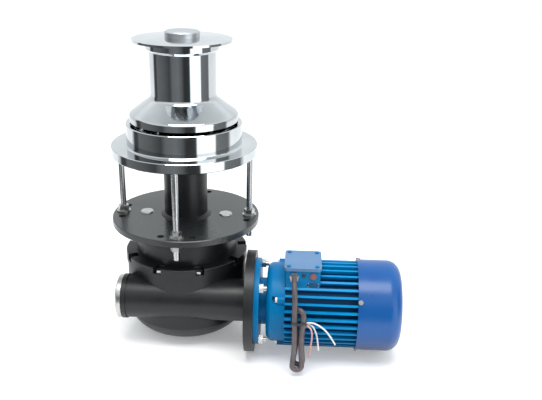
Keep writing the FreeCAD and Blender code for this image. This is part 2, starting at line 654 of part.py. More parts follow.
rim_inner = d.gear_module * d.wheel_teeth / 2 - 3 * d.gear_module
half_rim = d.wheel_width / 2
half_web = d.wheel_web / 2
centre = turned("wheel_centre", [
    (d.wheel_seat_radius, hub_foot_level), (d.wheel_hub_radius, hub_foot_level),
    (d.wheel_hub_radius, wheel_level - half_web),
    (rim_inner - d.housing_wall, wheel_level - half_web),
    (rim_inner - d.housing_wall, wheel_level - half_rim), (rim_inner, wheel_level - half_rim),
    (rim_inner, wheel_level + half_rim), (rim_inner - d.housing_wall, wheel_level + half_rim),
    (rim_inner - d.housing_wall, wheel_level + half_web),
    (d.wheel_hub_radius, wheel_level + half_web), (d.wheel_hub_radius, hub_top_level),
    (d.wheel_seat_radius, hub_top_level)])
cut(centre, d.wheel_hub_width, hub_top_level, corners=wheel_key_section)
ring("wheel_spacer", d.shaft_radius, d.sleeve_radius, floor_top + d.bearing_width,
     hub_foot_level - floor_top - d.bearing_width)
ring("drum_spacer", d.shaft_radius, d.sleeve_radius, seal_foot, d.drum_hub_foot - seal_foot)

# ---------------------------------------------------------------- drum, its nut and cap
skirt_foot = d.base_height + d.skirt_gap
shoulder = skirt_foot + d.skirt_height
disc_foot = d.disc_height - d.disc_rim
crown = d.disc_height + d.disc_crown
barrel_bore = d.barrel_radius - d.barrel_wall
drum = turned("drum", [
    (d.skirt_radius, skirt_foot), (d.skirt_radius, shoulder), (d.barrel_radius, d.barrel_foot),
    (d.barrel_radius, d.lip_foot - d.lip_rise), (d.lip_radius, d.lip_foot),
    (d.lip_radius, disc_foot - d.ring_chamfer), (d.disc_radius, disc_foot),
    (d.disc_radius, d.disc_height), (d.cap_radius, crown), (d.drum_recess_radius, crown),
    (d.drum_recess_radius, d.drum_recess_floor), (d.shaft_radius, d.drum_recess_floor),
    (d.shaft_radius, d.drum_hub_foot), (d.drum_hub_radius, d.drum_hub_foot),
    (d.drum_hub_radius, d.lip_foot - d.lip_rise), (barrel_bore, d.lip_foot - d.lip_rise),
    (barrel_bore, d.barrel_foot - d.skirt_wall / 2),
    (d.skirt_radius - d.skirt_wall, shoulder - d.skirt_wall),
    (d.skirt_radius - d.skirt_wall, skirt_foot)])
round_edges(drum, d.flare_round, [(d.barrel_radius, d.barrel_foot)])
round_edges(drum, d.shoulder_round, [(d.skirt_radius, shoulder)])
cut(drum, d.drum_recess_floor - d.drum_hub_foot, d.drum_recess_floor, corners=drum_key_section)
ring("drum_nut", d.shaft_radius, d.shaft_nut_radius, d.drum_recess_floor, d.shaft_nut_height)
cap_top = crown + d.cap_height
turned("drum_cap", [
    (0, crown), (d.shaft_radius + d.skirt_wall, crown),
    (d.shaft_radius + d.skirt_wall, crown - d.cap_spigot),
    (d.drum_recess_radius - d.fit_gap, crown - d.cap_spigot),
    (d.drum_recess_radius - d.fit_gap, crown), (d.cap_radius, crown),
    (d.cap_radius, cap_top - d.cap_chamfer), (d.cap_radius - d.cap_chamfer, cap_top),
    (0, cap_top)])

# ---------------------------------------------------------------- worm and worm wheel teeth
PRESSURE = math.radians(20)
module = float(d.gear_module)
teeth = int(float(d.wheel_teeth))
axial_pitch = math.pi * module
wheel_pitch_radius = module * teeth / 2
worm_pitch_radius = float(d.centre_distance) - wheel_pitch_radius
lead_tangent = axial_pitch / (2 * math.pi * worm_pitch_radius)
addendum = module
dedendum = 1.2 * module
worm_root = d.centre_distance - d.gear_module * d.wheel_teeth / 2 - 1.2 * d.gear_module


def involute(angle):
    return math.tan(angle) - angle


def half_tooth(radius):
    """Half the angle that a wheel tooth covers at a radius."""
    base = wheel_pitch_radius * math.cos(PRESSURE)
    slope = math.acos(min(1.0, base / radius))
    thickness = axial_pitch / 2 - float(d.backlash) / 2
    return thickness / 2 / wheel_pitch_radius + involute(PRESSURE) - involute(slope)


def wheel_section(height, turn):
    """The toothed outline of the wheel at a height, turned by an angle."""
    levels = [wheel_pitch_radius - dedendum, wheel_pitch_radius, wheel_pitch_radius + addendum]
    corners = []
    for i in range(teeth):
        middle = 2 * math.pi * (i + 0.5) / teeth - math.pi / 2 + turn
        flank = [(radius, -half_tooth(radius)) for radius in levels]
        flank += [(radius, half_tooth(radius)) for radius in reversed(levels)]
        corners += [FreeCAD.Vector(radius * math.cos(middle + a), radius * math.sin(middle + a),
                                   height) for radius, a in flank]
    return Part.makePolygon(corners + corners[:1])


face = float(d.wheel_width)
twist = face * lead_tangent / wheel_pitch_radius
sections = [wheel_section(-face / 2, -twist / 2), wheel_section(face / 2, twist / 2)]
toothed = Part.makeLoft(sections, True, True)
bore = Part.makeCylinder(float(rim_inner), face, FreeCAD.Vector(0, 0, -face / 2))
rim = doc.addObject("Part::Feature", "wheel_rim")
rim.Shape = toothed.cut(bore)
keep(place(rim, 0, 0, -d.worm_drop), "wheel_rim")


def thread(length):
    """The worm's thread as a tool, wound on Z with its middle turn facing the wheel."""
    sink = worm_pitch_radius - dedendum - module / 7
    tip = worm_pitch_radius + addendum
    half = axial_pitch / 4 - float(d.backlash) / 4
    low = half + (worm_pitch_radius - sink) * math.tan(PRESSURE)
    high = half - addendum * math.tan(PRESSURE)
    corners = [FreeCAD.Vector(sink, 0, -low), FreeCAD.Vector(tip, 0, -high),
               FreeCAD.Vector(tip, 0, high), FreeCAD.Vector(sink, 0, low)]
    turns = 2 * round(length / axial_pitch / 2) - 1
    wire = Part.makeHelix(axial_pitch, turns * axial_pitch, worm_pitch_radius)
    wound = Part.Wire(wire).makePipeShell([Part.makePolygon(corners + corners[:1])], True, True)
    wound.translate(FreeCAD.Vector(0, 0, -turns * axial_pitch / 2))
    return wound


neck_end = d.bearing_place - d.boss_wall
input_body = turned("worm_blank", [
    (0, -d.bearing_place - d.small_bearing_width), (d.small_journal,
                                                    -d.bearing_place - d.small_bearing_width),
    (d.small_journal, -d.bearing_place), (d.worm_neck_radius, -d.bearing_place),
    (d.worm_neck_radius, -neck_end), (worm_root, -neck_end), (worm_root, neck_end),
    (d.shaft_radius, neck_end), (d.shaft_radius, d.bearing_place),
    (d.input_journal, d.bearing_place), (d.input_journal, d.input_shaft_end),
    (d.motor_shaft_radius, d.input_shaft_end),
    (d.motor_shaft_radius, d.input_shaft_end - d.input_bore_depth),
    (0, d.input_shaft_end - d.input_bore_depth)], False)
motor_key_section = keyway(d.motor_shaft_radius, d.motor_key_depth, d.motor_key_width)
cut(input_body, d.input_shaft_end - d.motor_key_start, d.input_shaft_end,
    corners=motor_key_section)
worm_thread = doc.addObject("Part::Feature", "worm_thread")
worm_thread.Shape = thread(float(d.worm_length))
worm = keep(fused([input_body, worm_thread]), "worm_shaft")
FACING_WHEEL = 90
on_worm_line(worm, FACING_WHEEL + 180)

# ---------------------------------------------------------------- motor
flange_top = d.input_flange_face + d.end_flange_width
shield_wall = bell_foot + d.end_wall
boss_end = bell_foot + d.end_lip + d.small_bearing_width
frame_bore = d.frame_radius - d.frame_wall
spigot = frame_bore - d.fit_gap
end_boss = d.small_bearing_radius + d.end_boss_wall
shield = turned("shield_blank", [
    (d.shield_bore, d.input_flange_face), (d.end_flange_radius, d.input_flange_face),
    (d.end_flange_radius, flange_top), (d.end_neck_radius, flange_top),
    (d.end_neck_radius, bell_foot), (d.end_bell_radius - d.end_round, bell_foot, d.end_round),
    (d.end_bell_radius, bell_foot + d.end_round), (d.end_bell_radius, frame_foot),
    (spigot, frame_foot), (spigot, frame_foot + d.end_lip),
    (spigot - d.spigot_wall, frame_foot + d.end_lip), (spigot - d.spigot_wall, shield_wall),
    (end_boss, shield_wall), (end_boss, boss_end), (d.small_bearing_radius, boss_end),
    (d.small_bearing_radius, bell_foot + d.end_lip), (d.shield_bore, bell_foot + d.end_lip)], False)
cut(shield, d.end_flange_width, flange_top, centres=stud_places,
    radius=d.stud_radius + d.fit_gap)
on_worm_line(shield)
side_angles = [math.radians(float(d.side_turn) + 90 * i) for i in range(4)]
lug_places = [(d.lug_circle * math.cos(a) - d.centre_distance,
               d.lug_circle * math.sin(a) - d.worm_drop) for a in side_angles]
lug_foot = frame_foot - d.lug_length
lugs = [cylinder(d.lug_radius, d.lug_length, lug_foot, y, z, ALONG_X) for y, z in lug_places]
lug_holes = [cylinder(d.shield_bolt_shank + d.fit_gap, d.shield_bolt_depth + d.fit_gap, lug_foot,
                      y, z, ALONG_X) for y, z in lug_places]
spot_faces = [cylinder(d.spot_face_radius, d.spot_face_depth, lug_foot - d.spot_face_depth,
                       y, z, ALONG_X) for y, z in lug_places]
keep(less(fused([shield] + lugs), fused(lug_holes + spot_faces)), "motor_end_shield")
shield_bolt = hex_head("shield_bolt", d.shield_bolt_flats, d.shield_bolt_head,
                       shank=d.shield_bolt_shank, length=d.shield_bolt_depth)
BACK_ALONG_X = FreeCAD.Rotation(Y_AXIS, -90)
group("shield_bolts", copies(shield_bolt, [(lug_foot, y, z) for y, z in lug_places],
                             BACK_ALONG_X))
stud = cylinder(d.stud_radius, d.stud_depth + d.end_flange_width + d.stud_reach)
stud_spots = [(stud_foot, y - d.centre_distance, x - d.worm_drop) for x, y in stud_places]
group("flange_studs", copies(stud, stud_spots, ALONG_X))
stud_nut = hex_head("stud_nut", d.stud_nut_flats, d.stud_nut_height, bore=d.stud_radius)
group("flange_nuts", copies(stud_nut, [(flange_top, y, z) for x, y, z in stud_spots], ALONG_X))

stator = ring("stator_frame", frame_bore, d.frame_radius, frame_foot, d.frame_length)
half_fin = d.fin_width / 2
fin_root = d.frame_radius - d.frame_wall / 2
fin = padded(stator, d.frame_length, frame_foot, corners=[
    (fin_root, -half_fin), (d.fin_tip, -half_fin), (d.fin_tip, half_fin), (fin_root, half_fin)])
pattern(stator, fin, d.fin_count)
on_worm_line(stator, 180 / SIZES["fin_count"])
on_worm_line(ring("stator_core", d.stator_bore, frame_bore, d.stator_start, d.stator_length))
winding = ring("winding", d.winding_inner, d.winding_outer, 0, d.winding_length, False)
group("stator_windings", copies(winding, [(x, -d.centre_distance, -d.worm_drop) for x in (
    d.stator_start - d.winding_length, d.stator_start + d.stator_length)], ALONG_X))
on_worm_line(ring("rotor_core", d.rotor_shaft_radius, d.rotor_radius, d.stator_start,
                  d.stator_length))

cowl_bore = d.cowl_radius - d.cowl_wall
shield_top = frame_top + d.rear_shield_width
rear_boss_end = rear_seat + d.small_bearing_width
rear_collar = d.rotor_shaft_radius + 1
rear = turned("rear_blank", [
    (rear_collar, rear_seat - d.end_lip), (end_boss, rear_seat - d.end_lip),
    (end_boss, frame_top), (spigot - d.spigot_wall, frame_top),
    (spigot - d.spigot_wall, frame_top - d.end_lip), (spigot, frame_top - d.end_lip),
    (spigot, frame_top), (cowl_bore, frame_top), (cowl_bore, shield_top),
    (end_boss, shield_top), (end_boss, rear_boss_end),
    (d.small_bearing_radius, rear_boss_end), (d.small_bearing_radius, rear_seat),
    (rear_collar, rear_seat)], False)
on_worm_line(rear)
cowl_end = frame_top + d.cowl_length
corner_foot = cowl_end - d.cowl_corner
corner_edge = d.cowl_radius - d.cowl_corner
inner_corner = d.cowl_corner - d.cowl_wall
cowl = turned("cowl_shell", [
    (cowl_bore, frame_top), (d.cowl_radius, frame_top), (d.cowl_radius, corner_foot, d.cowl_corner),
    (corner_edge, cowl_end), (0, cowl_end), (0, cowl_end - d.cowl_wall),
    (corner_edge, cowl_end - d.cowl_wall, -inner_corner), (cowl_bore, corner_foot)], False)
half_slot = d.slot_width / 2
slot = cut(cowl, 2 * d.cowl_wall, cowl_end, corners=[
    (d.slot_inner, -half_slot), (d.slot_outer, -half_slot), (d.slot_outer, half_slot),
    (d.slot_inner, half_slot)])
pattern(cowl, slot, d.slot_count)
on_worm_line(cowl)
screw_level = frame_top + d.rear_shield_width / 2
cowl_screw = body("cowl_screw", False)
padded(cowl_screw, d.cowl_screw_height, 0, centres=[(0, 0)], radius=d.cowl_screw_head)
padded(cowl_screw, d.cowl_screw_depth, -d.cowl_screw_depth, centres=[(0, 0)],
       radius=d.cowl_screw_shank)


def round_the_motor(made, radius, level, angles):
    """Copies of a tool piece standing outwards on the motor's side at each angle."""
    doc.recompute()
    moved = []
    for angle in angles:
        out = FreeCAD.Vector(0, math.cos(angle), math.sin(angle))
        foot = FreeCAD.Vector(float(level), -float(d.centre_distance), -float(d.worm_drop))
        shape = made.Shape.copy()
        spot = FreeCAD.Placement(foot + out * float(radius), FreeCAD.Rotation(Z_AXIS, out))
        shape.Placement = spot.multiply(shape.Placement)
        moved.append(shape)
    return moved


group("cowl_screws", round_the_motor(cowl_screw, d.cowl_radius, screw_level, side_angles))
screw_hole = cylinder(d.cowl_screw_shank + d.fit_gap, d.cowl_screw_depth + d.fit_gap + 1,
                      z=-d.cowl_screw_depth - d.fit_gap)
holes = doc.addObject("Part::Feature", "cowl_screw_holes")
holes.Shape = Part.makeCompound(round_the_motor(screw_hole, d.cowl_radius, screw_level,
                                                side_angles))
keep(less(rear, holes), "rear_end_shield")
keep(less(cowl, holes), "fan_cowl")

fan_end = d.fan_start + d.fan_width
motor_shaft = turned("motor_shaft", [
    (0, d.motor_shaft_start), (d.motor_shaft_radius, d.motor_shaft_start),
    (d.motor_shaft_radius, bell_foot + d.end_lip), (d.small_journal, bell_foot + d.end_lip),
    (d.small_journal, boss_end), (d.rotor_shaft_radius, boss_end),
    (d.rotor_shaft_radius, rear_seat), (d.small_journal, rear_seat),
    (d.small_journal, rear_boss_end), (d.fan_journal, rear_boss_end), (d.fan_journal, fan_end),
    (0, fan_end)])
cut(motor_shaft, d.motor_key_length, d.motor_key_start + d.motor_key_length,
    corners=motor_key_section)
on_worm_line(motor_shaft, FACING_WHEEL + 180)
motor_key = body("motor_key")
padded(motor_key, d.motor_key_length, d.motor_key_start, corners=motor_key_section)
on_worm_line(motor_key, FACING_WHEEL + 180)
fan = turned("cooling_fan", [
    (d.fan_journal, d.fan_start), (d.fan_radius, d.fan_start),
    (d.fan_radius, d.fan_start + d.fan_disc), (d.fan_hub_radius, d.fan_start + d.fan_disc),
    (d.fan_hub_radius, fan_end), (d.fan_journal, fan_end)])
half_blade = d.blade_width / 2
blade = padded(fan, d.fan_width - d.fan_disc, d.fan_start + d.fan_disc, corners=[
    (d.fan_hub_radius - 1, -half_blade), (d.fan_radius, -half_blade),
    (d.fan_radius, half_blade), (d.fan_hub_radius - 1, half_blade)])
pattern(fan, blade, d.blade_count)
on_worm_line(fan)


# ---------------------------------------------------------------- terminal box and gland
def rounded(left, front, right, back, corner):
    """A rectangle with rounded corners."""
    return [(left + corner, front), (right - corner, front, corner), (right, front + corner),
            (right, back - corner, corner), (right - corner, back), (left + corner, back, corner),
            (left, back - corner), (left, front + corner, corner)]


lid_top = d.lid_rise - d.worm_drop
box_top = lid_top - d.lid_height
box_foot = box_top - d.box_height
box_end = d.box_start + d.box_length
box_front = -d.box_front
box_back = box_front + d.box_depth
wall = d.box_wall
outer_box = body("outer_box", False)
padded(outer_box, d.box_height, box_foot,
       corners=rounded(d.box_start, box_front, box_end, box_back, d.box_corner))
inner_box = body("inner_box", False)
padded(inner_box, d.box_height, box_foot, corners=rounded(
    d.box_start + wall, box_front + wall, box_end - wall, box_back - wall, d.box_corner - wall))
inset = d.lid_screw_inset
lid_places = [(x, y) for x in (d.box_start + inset, box_end - inset)
              for y in (box_front + inset, box_back - inset)]
posts = [cylinder(d.post_radius, d.box_height, x, y, box_foot) for x, y in lid_places]
saddle = worm_cylinder(d.fin_tip + d.fit_gap, d.box_start - 1, d.box_length + 2)
floor = worm_cylinder(d.fin_tip + d.box_floor, d.box_start - 1, d.box_length + 2)
cavity = less(inner_box, fused(posts + [floor]))
screw_length = d.lid_height + d.cowl_screw_depth
screw_holes = [cylinder(d.lid_screw_shank + d.fit_gap, d.cowl_screw_depth + 1, x, y,
                        box_top - d.cowl_screw_depth) for x, y in lid_places]
keep(less(outer_box, fused([saddle, cavity] + screw_holes)), "terminal_box")
over = d.lid_overhang
lid = body("terminal_lid")
padded(lid, d.lid_height, box_top, corners=rounded(
    d.box_start - over, box_front - over, box_end + over, box_back + over, d.box_corner + over))
recess = d.lid_recess_inset
cut(lid, d.lid_recess, box_top, corners=[
    (d.box_start + recess, box_front + recess), (box_end - recess, box_front + recess),
    (box_end - recess, box_back - recess), (d.box_start + recess, box_back - recess)],
    upward=True)
cut(lid, d.lid_height, lid_top, centres=lid_places, radius=d.lid_screw_shank + d.fit_gap)
lid_screw = body("lid_screw", False)
padded(lid_screw, d.lid_screw_height, 0, centres=[(0, 0)], radius=d.lid_screw_head)
padded(lid_screw, screw_length, -screw_length, centres=[(0, 0)], radius=d.lid_screw_shank)
group("lid_screws", copies(lid_screw, [(x, y, lid_top) for x, y in lid_places]))
board_foot = -d.worm_drop + d.fin_tip + d.box_floor
box_middle = d.box_start + d.box_length / 2
slab = block(d.board_length, d.board_depth, d.board_height, box_middle - d.board_length / 2,
             -d.centre_distance - d.board_depth / 2, board_foot)
terminals = [cylinder(d.terminal_radius, d.terminal_height, box_middle + i * d.terminal_pitch,
                      j * d.terminal_rows / 2 - d.centre_distance, board_foot + d.board_height)
             for i in (-1, 0, 1) for j in (-1, 1)]
keep(fused([slab] + terminals), "terminal_board")

FORWARD = FreeCAD.Rotation(FreeCAD.Vector(1, 0, 0), 90)
gland = body("cable_gland")
padded(gland, d.gland_base, 0, corners=hexagon(d.gland_flats))
padded(gland, d.gland_nut_height, d.gland_base, centres=[(0, 0)], radius=d.gland_nut_radius)
gland_level = d.gland_rise - d.worm_drop
place(gland, d.gland_place, box_front, gland_level, FORWARD)
plug = body("blank_plug")
padded(plug, d.blank_height, 0, centres=[(0, 0)], radius=d.blank_radius)
place(plug, d.blank_place, box_front, gland_level, FORWARD)


# ---------------------------------------------------------------- supply cable
def cord(label, route, radius):
    """A round cord along a route: straight runs joined by tangent arcs."""
    points = [FreeCAD.Vector(*(float(c) for c in point)) for point in route]
    edges = []
    start = points[0]
    length = 0
    for before, at, after in zip(points, points[1:], points[2:]):
        come = (at - before).normalize()
        leave = (after - at).normalize()
        half = come.getAngle(leave) / 2
        trim = 0.45 * min(at.distanceToPoint(before), after.distanceToPoint(at))
        bend = trim / math.tan(half)
        first = at - come * trim
        last = at + leave * trim
        middle = at + (leave - come).normalize() * (bend / math.cos(half) - bend)
        edges += [Part.LineSegment(start, first).toShape(), Part.Arc(first, middle, last).toShape()]
        length += start.distanceToPoint(first) + 2 * half * bend
        print("%s bend radius %.1f mm, turn %.0f deg" % (label, bend, math.degrees(2 * half)))
        start = last
    edges.append(Part.LineSegment(start, points[-1]).toShape())
    length += start.distanceToPoint(points[-1])
    mouth = Part.Wire(Part.Circle(points[0], points[1] - points[0], float(radius)).toShape())
    solid = Part.Wire(edges).makePipeShell([mouth], True, True)
    section = math.pi * float(radius) ** 2
    if abs(solid.Volume / (section * length) - 1) > 0.01:
        raise RuntimeError(label + " does not follow its route")
    made = doc.addObject("Part::Feature", label)
    made.Shape = solid
    return keep(made, label)


gland_end = box_front - d.gland_base - d.gland_nut_height
hank_left = d.hank_place - d.hank_width / 2
hank_right = d.hank_place + d.hank_width / 2
hank_middle = box_front - d.hank_reach
hank_crown = gland_level - d.hank_fall
way_over = (d.hank_place - d.gland_place) / 2
cord("supply_cable", [
    (d.gland_place, gland_end, gland_level), (d.gland_place, gland_end - d.cable_reach, gland_level),
    (d.gland_place + way_over, gland_end - d.cable_bow, gland_level - d.cable_fall),
    (d.hank_place, hank_middle, hank_crown + d.cable_drop),
    (d.hank_place, hank_middle, hank_crown)], d.cable_radius)
hank = body("cable_hank")
half_depth = d.hank_depth / 2
padded(hank, d.hank_length, hank_crown - d.hank_length, corners=[
    (hank_left, hank_middle - half_depth), (hank_right, hank_middle - half_depth),
    (hank_right, hank_middle + half_depth), (hank_left, hank_middle + half_depth)])
block_of_hank = hank.Tip
soft = hank.newObject("PartDesign::Fillet", "Fillet")
soft.Base = (block_of_hank, ["Edge%d" % i for i in range(1, 13)])
soft.Radius = float(d.hank_round)
bind(soft, "Radius", d.hank_round)
hank.Tip = soft


def core(label, row, aside, reach, drop, steps):
    """A stripped core that leaves the hank's side and falls by steps of its reach and drop."""
    level = hank_crown - d.core_fall - row * d.core_pitch
    depth = hank_middle + aside
    cord(label, [(hank_right, depth, level)] + [
        (hank_right + across * reach, depth + forward, level - down * drop)
        for across, forward, down in steps], d.core_radius)


core("white_core", 0, 0, d.white_reach, d.white_drop,
     [(0.16, 0, 0), (0.43, 1, 0.16), (0.75, 3, 0.48), (1, 5, 1)])
core("pale_core", 1, d.core_pitch / 2, d.pale_reach, d.pale_drop,
     [(0.34, 0, 0), (0.65, 0.5, 0.2), (0.9, 1, 0.55), (1, 1, 1)])
core("pink_core", 2, -d.core_pitch / 2, d.pink_reach, d.pink_drop,
     [(0.6, 0, 0), (1, 0, 0.15), (0.95, 0.5, 0.5), (0.55, 1, 1)])

# ---------------------------------------------------------------- checks and export
doc.recompute()
for thing in doc.Objects:
    if "Invalid" in thing.State or "Error" in thing.State:
        raise RuntimeError(thing.Label + " failed: " + str(thing.State))
os.makedirs("parts", exist_ok=True)
for node in nodes:
    if node.Shape.isNull() or not node.Shape.isValid() or node.Shape.Volume <= 0:
        raise RuntimeError(node.Label + " has no valid shape")
    node.Shape.exportStep("parts/" + node.Label + ".step")
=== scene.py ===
# %% [markdown]
# # A deck capstan, dressed over its CAD frame
# The frame holds every solid of the capstan in metres, with +Z up the drum and the motor along
# +X. This lesson gives each solid its finish. Then it adds what is softer or smaller than they
# are: the cable with its tied hank, the bared cores and the trim on the terminal box.

import bpy
import numpy as np
from mathutils import Matrix, Vector


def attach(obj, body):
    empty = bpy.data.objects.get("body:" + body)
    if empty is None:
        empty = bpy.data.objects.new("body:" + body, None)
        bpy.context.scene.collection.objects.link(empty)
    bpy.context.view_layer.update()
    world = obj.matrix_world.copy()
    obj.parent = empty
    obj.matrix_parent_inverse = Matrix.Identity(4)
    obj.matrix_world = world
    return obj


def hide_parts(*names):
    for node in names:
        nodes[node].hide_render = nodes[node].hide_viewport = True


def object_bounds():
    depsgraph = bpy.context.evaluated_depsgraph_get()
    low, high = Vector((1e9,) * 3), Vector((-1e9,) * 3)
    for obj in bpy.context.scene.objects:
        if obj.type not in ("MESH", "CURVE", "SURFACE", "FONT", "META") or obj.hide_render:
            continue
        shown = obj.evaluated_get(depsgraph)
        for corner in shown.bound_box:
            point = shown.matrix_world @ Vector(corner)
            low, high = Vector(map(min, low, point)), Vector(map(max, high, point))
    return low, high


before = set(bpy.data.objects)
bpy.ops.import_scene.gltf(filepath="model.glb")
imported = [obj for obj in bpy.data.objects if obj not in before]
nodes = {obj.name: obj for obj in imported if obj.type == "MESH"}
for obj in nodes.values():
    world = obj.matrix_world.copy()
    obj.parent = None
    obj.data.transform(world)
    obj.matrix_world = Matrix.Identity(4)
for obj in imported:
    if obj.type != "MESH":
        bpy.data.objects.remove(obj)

CAD_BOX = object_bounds()
MM = 0.001
print("loaded", len(nodes), "nodes, box", CAD_BOX)


# %% Objects
def add_object(name, data):
    """An object in the scene that shows the data."""
    made = bpy.data.objects.new(name, data)
    bpy.context.scene.collection.objects.link(made)
    return made


# %% [markdown]
# ## The camera
# The camera comes first, because the cable may not spread far outside its view. It looks down
# by about 21 degrees from the front, with a lens of about 50 mm on a 36 mm sensor.

# %% Camera
CAMERA_PLACE = Vector((0.22538, -1.40683, 0.44075))
CAMERA_RIGHT = Vector((0.99883, 0.04502, 0.01779))
CAMERA_UP = Vector((-0.03266, 0.35541, 0.93414))
SENSOR_WIDTH, LENS = 36.0, 49.8155
FARTHEST_SEEN = 20

camera = add_object("camera", bpy.data.cameras.new("camera"))
backwards = CAMERA_RIGHT.cross(CAMERA_UP).normalized()
turn = Matrix((CAMERA_RIGHT, CAMERA_UP, backwards)).transposed().to_4x4()
camera.matrix_world = Matrix.Translation(CAMERA_PLACE) @ turn
camera.data.sensor_width = SENSOR_WIDTH
camera.data.lens = LENS
camera.data.clip_end = FARTHEST_SEEN
bpy.context.scene.camera = camera
print("lens", round(camera.data.lens, 1), "mm")

# %% [markdown]
# ## Node tools
# The shaders are built from a few kinds of node, so each kind has a short function. Wherever
# one takes a value, the value is a plain number or colour, or the output of another node.

# %% Node tools
FLOAT, COLOR, VECTOR = "NodeSocketFloat", "NodeSocketColor", "NodeSocketVector"
WHITE, BLACK = (1, 1, 1, 1), (0, 0, 0, 1)


def feed(tree, value, socket):
    """Links an output to the socket, or sets a plain value on it."""
    if isinstance(value, bpy.types.NodeSocket):
        tree.links.new(value, socket)
    else:
        socket.default_value = value


def node(tree, kind, **values):
    """Adds a node; values name its inputs, and words such as operation its settings."""
    made = tree.nodes.new(kind)
    for key, value in values.items():
        if key in made.inputs:
            feed(tree, value, made.inputs[key])
        else:
            setattr(made, key, value)
    return made


def math_node(tree, operation, *values):
    """The result of a Math node."""
    made = node(tree, "ShaderNodeMath", operation=operation)
    for value, socket in zip(values, made.inputs):
        feed(tree, value, socket)
    return made.outputs[0]


def hypotenuse(tree, first, second):
    """The root of the sum of two squares."""
    squares = [math_node(tree, "MULTIPLY", side, side) for side in (first, second)]
    return math_node(tree, "SQRT", math_node(tree, "ADD", *squares))


def map_range(tree, value, low, high, ends=(0.0, 1.0), smooth="LINEAR"):
    """The value's place between low and high, as a number between the two ends."""
    made = node(tree, "ShaderNodeMapRange", interpolation_type=smooth)
    places = ("Value", "From Min", "From Max", "To Min", "To Max")
    for place, given in zip(places, (value, low, high, *ends)):
        feed(tree, given, made.inputs[place])
    return made.outputs[0]


def mix_colours(tree, factor, first, second):
    """The first colour blended into the second; 0, 6 and 7 are a colour Mix node's inputs."""
    made = node(tree, "ShaderNodeMix", data_type="RGBA")
    for place, value in zip((0, 6, 7), (factor, first, second)):
        feed(tree, value, made.inputs[place])
    return made.outputs[2]


def noise(tree, place, scale, **settings):
    """Soft noise read at a place."""
    return node(tree, "ShaderNodeTexNoise", Vector=place, Scale=scale, **settings).outputs["Fac"]


def place_on(tree, kind="Object"):
    """The place of the point being shaded, in the object's own metres unless kind says else."""
    return node(tree, "ShaderNodeTexCoord").outputs[kind]


def split_axes(tree, vector):
    """The x, y and z of a vector."""
    return node(tree, "ShaderNodeSeparateXYZ", Vector=vector).outputs[:]


def new_group(name, inputs, outputs):
    """A shader group with named sockets, and its own input and output nodes."""
    tree = bpy.data.node_groups.new(name, "ShaderNodeTree")
    for label, kind, value in inputs:
        socket = tree.interface.new_socket(label, in_out="INPUT", socket_type=kind)
        socket.default_value = value
    for label, kind in outputs:
        tree.interface.new_socket(label, in_out="OUTPUT", socket_type=kind)
    return tree, tree.nodes.new("NodeGroupInput"), tree.nodes.new("NodeGroupOutput")


def use_group(tree, group, values):
    """Adds a group to a shader and feeds its inputs."""
    made = node(tree, "ShaderNodeGroup", node_tree=group)
    for key, value in values.items():
        feed(tree, value, made.inputs[key])
    return made


# %% [markdown]
# ## Node groups for the finishes
# Paint, polish and castings share a few effects, and each one is a group that is built once and
# used with its own numbers. Cloudiness drifts the colour and the gloss slowly over a piece, as
# hand polish and sprayed paint do. Grain is a fine height field for castings and plastic. Tool
# marks are thin rings about an axis, left by a lathe. Painted shade darkens the paint colour
# between the motor's fins and towards the bottom, where shade falls.


# %% Cloudiness
def make_cloudiness():
    """A colour between two tints by soft noise, and a gloss that swings with it."""
    tree, start, end = new_group(
        "cloudiness", [("Tint A", COLOR, WHITE), ("Tint B", COLOR, WHITE),
                       ("Scale", FLOAT, 8.0), ("Gloss", FLOAT, 0.3), ("Spread", FLOAT, 0.1)],
        [("Color", COLOR), ("Roughness", FLOAT)])
    soft = noise(tree, place_on(tree), start.outputs["Scale"], Detail=4.0, Roughness=0.6)
    drift = map_range(tree, soft, low=0.3, high=0.7)
    colour = mix_colours(tree, drift, start.outputs["Tint A"], start.outputs["Tint B"])
    centred = math_node(tree, "SUBTRACT", drift, 0.5)
    swing = math_node(tree, "MULTIPLY", centred, start.outputs["Spread"])
    tree.links.new(colour, end.inputs["Color"])
    tree.links.new(math_node(tree, "ADD", swing, start.outputs["Gloss"]), end.inputs["Roughness"])
    return tree


CLOUDINESS = make_cloudiness()


# %% Grain
def make_grain():
    """The height of a fine, uneven skin: two sizes of noise, the wide one 5 times the fine."""
    tree, start, end = new_group(
        "grain", [("Scale", FLOAT, 600.0), ("Coarse", FLOAT, 0.4)], [("Height", FLOAT)])
    place, scale = place_on(tree), start.outputs["Scale"]
    fine = noise(tree, place, scale, Detail=3.0)
    wide = noise(tree, place, math_node(tree, "MULTIPLY", scale, 0.2), Detail=2.0)
    swell = math_node(tree, "MULTIPLY", wide, start.outputs["Coarse"])
    tree.links.new(math_node(tree, "ADD", fine, swell), end.inputs["Height"])
    return tree


GRAIN = make_grain()


# %% Tool marks
def make_tool_marks():
    """The height of thin rings, at random steps of radius plus z about the vector's z axis."""
    tree, start, end = new_group(
        "tool marks", [("Vector", VECTOR, (0, 0, 0)), ("Rings per metre", FLOAT, 900.0)],
        [("Height", FLOAT)])
    x, y, z = split_axes(tree, start.outputs["Vector"])
    reach = math_node(tree, "ADD", hypotenuse(tree, x, y), z)
    rings = math_node(tree, "MULTIPLY", reach, start.outputs["Rings per metre"])
    line = node(tree, "ShaderNodeTexNoise", noise_dimensions="1D", Scale=1.0, Detail=2.0)
    tree.links.new(rings, line.inputs["W"])
    tree.links.new(line.outputs["Fac"], end.inputs["Height"])
    return tree


TOOL_MARKS = make_tool_marks()


# %% Painted shade
MOTOR_AXIS = (0.0, -0.0875, -0.277)


